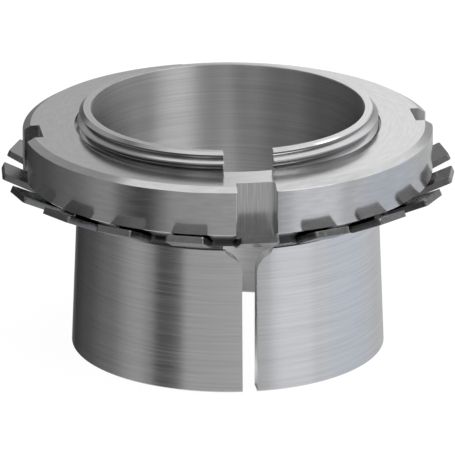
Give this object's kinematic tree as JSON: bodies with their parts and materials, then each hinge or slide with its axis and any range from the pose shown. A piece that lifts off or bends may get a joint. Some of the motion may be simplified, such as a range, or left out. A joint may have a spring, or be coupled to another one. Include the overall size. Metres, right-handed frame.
{
  "type": "bearing adapter sleeve",
  "caption": "Slotted steel sleeve with a taper outside and a threaded end, lock nut and toothed lock washer, for holding a bearing with a tapered bore on a plain shaft.",
  "frame": {"origin": "on the sleeve's axis, in the plane of its large end face", "axes": "+Z along the axis towards the threaded end, -Y through the keyway and the slit, +X to the right seen from the slit's side"},
  "size_m": [0.083, 0.0827, 0.045],
  "materials": {
    "sleeve_steel": "fine turned, bare",
    "nut_steel": "fine turned, bare",
    "washer_steel": "dark satin sheet"
  },
  "bodies": {
    "sleeve": {"adapter_sleeve": "sleeve_steel"},
    "washer": {"lock_washer": "washer_steel"},
    "nut": {"lock_nut": "nut_steel"}
  },
  "joints": [
    {"name": "washer_slide", "type": "slide", "parent": "sleeve", "child": "washer", "axis": [0, 0, 1], "range_m": [-0.003, 0.014]},
    {"name": "nut_turn", "type": "hinge", "parent": "washer", "child": "nut", "pos_m": [0, 0, 0], "axis": [0, 0, 1], "range_deg": [-540, 2520]}
  ],
  "couplings": [
    {"joint": "washer_slide", "follows": "nut_turn", "m_per_rad": 0.00031831}
  ]
}
